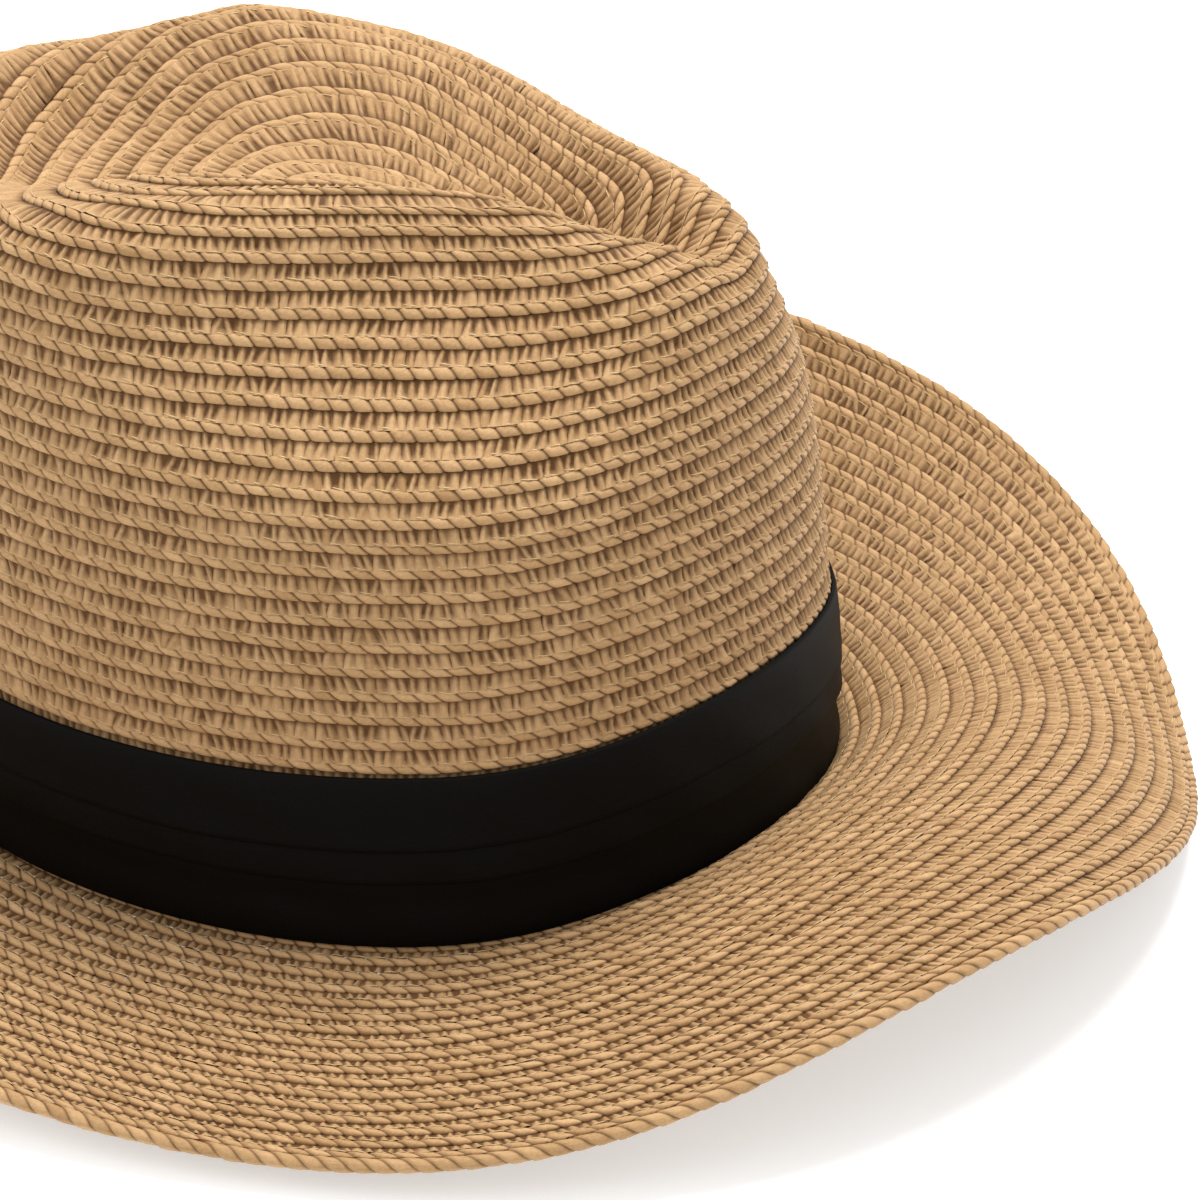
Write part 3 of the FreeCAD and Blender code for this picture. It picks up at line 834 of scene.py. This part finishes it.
def metal_material(name, dark, light, roughness):
    n = Nodes(name)
    place = n.add("ShaderNodeTexCoord").outputs["Object"]
    scratches = n.noise(n.stretched(place, (1.0, 1.0, 0.1)), 700.0, 3.0, 0.6)
    n.link(n.mix(scratches, dark, light), n.shader.inputs["Base Color"])
    n.link(n.math("ADD", n.math("MULTIPLY", scratches, 0.2), roughness),
           n.shader.inputs["Roughness"])
    n.shader.inputs["Metallic"].default_value = 1.0
    n.bump(scratches, 0.1, 0.0001)
    return n.material


def floor_material():
    n = Nodes("studio_floor")
    n.shader.inputs["Base Color"].default_value = (0.8, 0.8, 0.8, 1)
    n.shader.inputs["Emission Color"].default_value = (0.93, 0.975, 1.0, 1)
    n.shader.inputs["Emission Strength"].default_value = 0.48
    n.shader.inputs["Roughness"].default_value = 0.9
    n.shader.inputs["Specular IOR Level"].default_value = 0.0
    return n.material


def wear(piece, material):
    """Gives the whole piece one material."""
    piece.data.materials.clear()
    piece.data.materials.append(material)


# ==== camera, floor and light ====================================================================
def add_camera(shift):
    """A long lens at the wearer's right, a little in front, looking down on the hat."""
    azimuth, elevation, roll = (math.radians(a) for a in (-154.67, 26.59, 3.286))
    distance = 1093.5
    aim_right = 48.65
    aim_up = 26.56
    away = Vector((math.cos(elevation) * math.cos(azimuth),
                   math.cos(elevation) * math.sin(azimuth), math.sin(elevation)))
    right = (-away).cross(Vector((0, 0, 1))).normalized()
    up = right.cross(-away)
    spot = (Vector(shift) + right * aim_right + up * aim_up + away * distance) * MM
    tilted_right = right * math.cos(roll) + up * math.sin(roll)
    tilted_up = up * math.cos(roll) - right * math.sin(roll)
    data = bpy.data.cameras.new("camera")
    data.sensor_width = 36.0
    data.lens = 160.0
    data.clip_end = 50.0
    camera = bpy.data.objects.new("camera", data)
    turned = Matrix((tilted_right, tilted_up, away)).transposed().to_4x4()
    camera.matrix_world = Matrix.Translation(spot) @ turned
    bpy.context.scene.collection.objects.link(camera)
    bpy.context.scene.camera = camera


def add_light(name, place, aim, size, power, colour=(1, 1, 1)):
    data = bpy.data.lights.new(name, "AREA")
    data.shape = "DISK"
    data.size = size
    data.energy = power
    data.color = colour
    light = bpy.data.objects.new(name, data)
    light.location = place
    direction = Vector(aim) - Vector(place)
    light.rotation_euler = direction.to_track_quat("-Z", "Y").to_euler()
    bpy.context.scene.collection.objects.link(light)


def add_studio():
    mesh = bpy.data.meshes.new("floor")
    reach = 6.0
    mesh.from_pydata([(-reach, -reach, 0), (reach, -reach, 0), (reach, reach, 0),
                      (-reach, reach, 0)], [], [(0, 1, 2, 3)])
    floor = bpy.data.objects.new("floor", mesh)
    bpy.context.scene.collection.objects.link(floor)
    wear(floor, floor_material())
    world = bpy.data.worlds.new("studio")
    world.use_nodes = True
    world.node_tree.nodes["Background"].inputs["Color"].default_value = (1, 1, 1, 1)
    world.node_tree.nodes["Background"].inputs["Strength"].default_value = 0.80
    bpy.context.scene.world = world
    # The main softbox hangs above and behind the hat as the camera sees it.
    add_light("key_softbox", (0.32, 0.02, 1.45), (0, 0, 0.05), 0.8, 26.5, (1.0, 0.985, 0.96))
    add_light("side_softbox", (-1.1, 0.7, 1.1), (0, 0, 0.06), 1.2, 5.0)
    view = bpy.context.scene.view_settings
    view.view_transform = "Standard"
    view.look = "None"


# ==== the whole hat ==============================================================================
def dress(piece, material, slot, *nodes):
    wear(piece, material)
    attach(piece, "root")
    if nodes:
        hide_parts(*nodes)


def split_route(route, pieces):
    return [round(route.plaits * i / pieces) for i in range(pieces + 1)]


def main():
    brim = make_brim_surface()
    shift = frame_shift(brim)
    add_camera(shift)
    crown, wall, ridge, lengths = make_crown_surfaces()
    for surface in (crown, wall, brim):
        surface.points += shift
    straw = straw_material()
    thread = thread_material("pale_thread", (0.48, 0.33, 0.15), (0.64, 0.46, 0.24), 0.45)
    black = cloth_material("black_ribbon", (0.0008, 0.0007, 0.0005), (0.0034, 0.0030, 0.0022), 0.6,
                           (3.2, 2.6), 0.0, specular=0.08)
    lining = cloth_material("sweatband_cotton", (0.02, 0.017, 0.014), (0.07, 0.06, 0.05), 0.85,
                            (1.6, 0.9), 0.2, 0.6)
    tab = cloth_material("label_tape", (0.55, 0.53, 0.48), (0.83, 0.81, 0.76), 0.7, (3.0, 3.0), 0.1)
    wire = metal_material("drawn_brass", (0.50, 0.38, 0.18), (0.72, 0.58, 0.32), 0.3)
    sleeve = metal_material("crimped_aluminium", (0.6, 0.6, 0.6), (0.82, 0.82, 0.83), 0.35)

    around = ring_of_turns()
    growth = (HIGH_PITCH - LOW_PITCH) / (2 * RIDGE_ROWS)
    brim_pitch = (BRIM_WIDTH - EDGE_RADIUS) / BRIM_ROWS

    def crown_climb(turn, row):
        """Distance up the meridian: even rows on the wall, then the rest shared over the tip."""
        up = CROWN_ROWS - row
        top = np.interp(turn, around, ridge, period=2 * math.pi)
        whole = np.interp(turn, around, lengths, period=2 * math.pi)
        top_rows = (np.sqrt(LOW_PITCH ** 2 + 4 * growth * top) - LOW_PITCH) / (2 * growth)
        tip = top + (whole - top) * (up - top_rows) / (CROWN_ROWS - top_rows)
        return np.where(up < top_rows, LOW_PITCH * up + growth * up ** 2, tip), whole

    def crown_reach(turn, row):
        climb, whole = crown_climb(turn, row)
        return np.clip(climb / whole, 0.0, 0.999)

    def crown_pitch(turn, row):
        return crown_climb(turn, row)[0] - crown_climb(turn, row + 1)[0]

    def brim_reach(turn, row):
        return np.clip(row * brim_pitch, 0.0, BRIM_WIDTH - EDGE_MARGIN)

    def even_pitch(turn, row):
        return brim_pitch

    crown_route = Route(crown, crown_pitch, START_ROWS, CROWN_ROWS, 0.0, crown_reach, 11)
    brim_route = Route(brim, even_pitch, -1.0, BRIM_ROWS, math.pi, brim_reach, 12)
    names = ("tip", "crease", "upper_wall", "lower_wall")
    cuts = split_route(crown_route, len(names))
    nodes = {"tip": ("crown_tip",), "crease": ("crown_crease",), "lower_wall": ("crown_side",)}
    nodes = {key: [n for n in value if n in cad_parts] for key, value in nodes.items()}
    for name, first, last in zip(names, cuts, cuts[1:]):
        piece = braid_piece("crown_braid_" + name, crown_route, first, last, False)
        dress(piece, straw, "straw", *nodes.get(name, ()))
    cuts = split_route(brim_route, 5)
    for number, (first, last) in enumerate(zip(cuts, cuts[1:]), 1):
        piece = braid_piece("brim_braid_%d" % number, brim_route, first, last, True)
        dress(piece, straw, "straw", *(["brim"] if number == 1 else []))
    dress(thread_dashes("crown_sewing_thread", crown_route), thread, "thread")
    dress(thread_dashes("brim_sewing_thread", brim_route), thread, "thread")
    dress(edge_row(brim), straw, "straw", "brim_edge_row")
    dress(start_coil(crown), straw, "straw", "start_button")

    for name in FOLDS:
        piece, flat = ribbon_fold(name, wall)
        piece.name = name + "_cloth"
        dress(piece, black, "ribbon", name)
    backing, flat = closed_band(
        "ribbon_backing_cloth", wall, np.linspace(BAND_HEIGHT, BACKING_FLOOR, BACKING_POINTS),
        [BACKING_RISE] * BACKING_POINTS, BACKING_THICKNESS)
    dress(backing, black, "ribbon", "ribbon_backing")
    keeper, flat = ribbon_keeper(wall)
    dress(keeper, black, "ribbon", "ribbon_wrap")
    band, flat = sweatband(wall)
    dress(band, lining, "sweatband", "sweatband")

    for node, material in (("brim_wire", wire), ("wire_joiner", sleeve), ("size_label", tab),
                           ("sweatband_seam_tape", lining), ("sweatband_stitching", thread),
                           ("ribbon_tack_stitches", black)):
        wear(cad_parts[node], material)
    add_studio()


main()
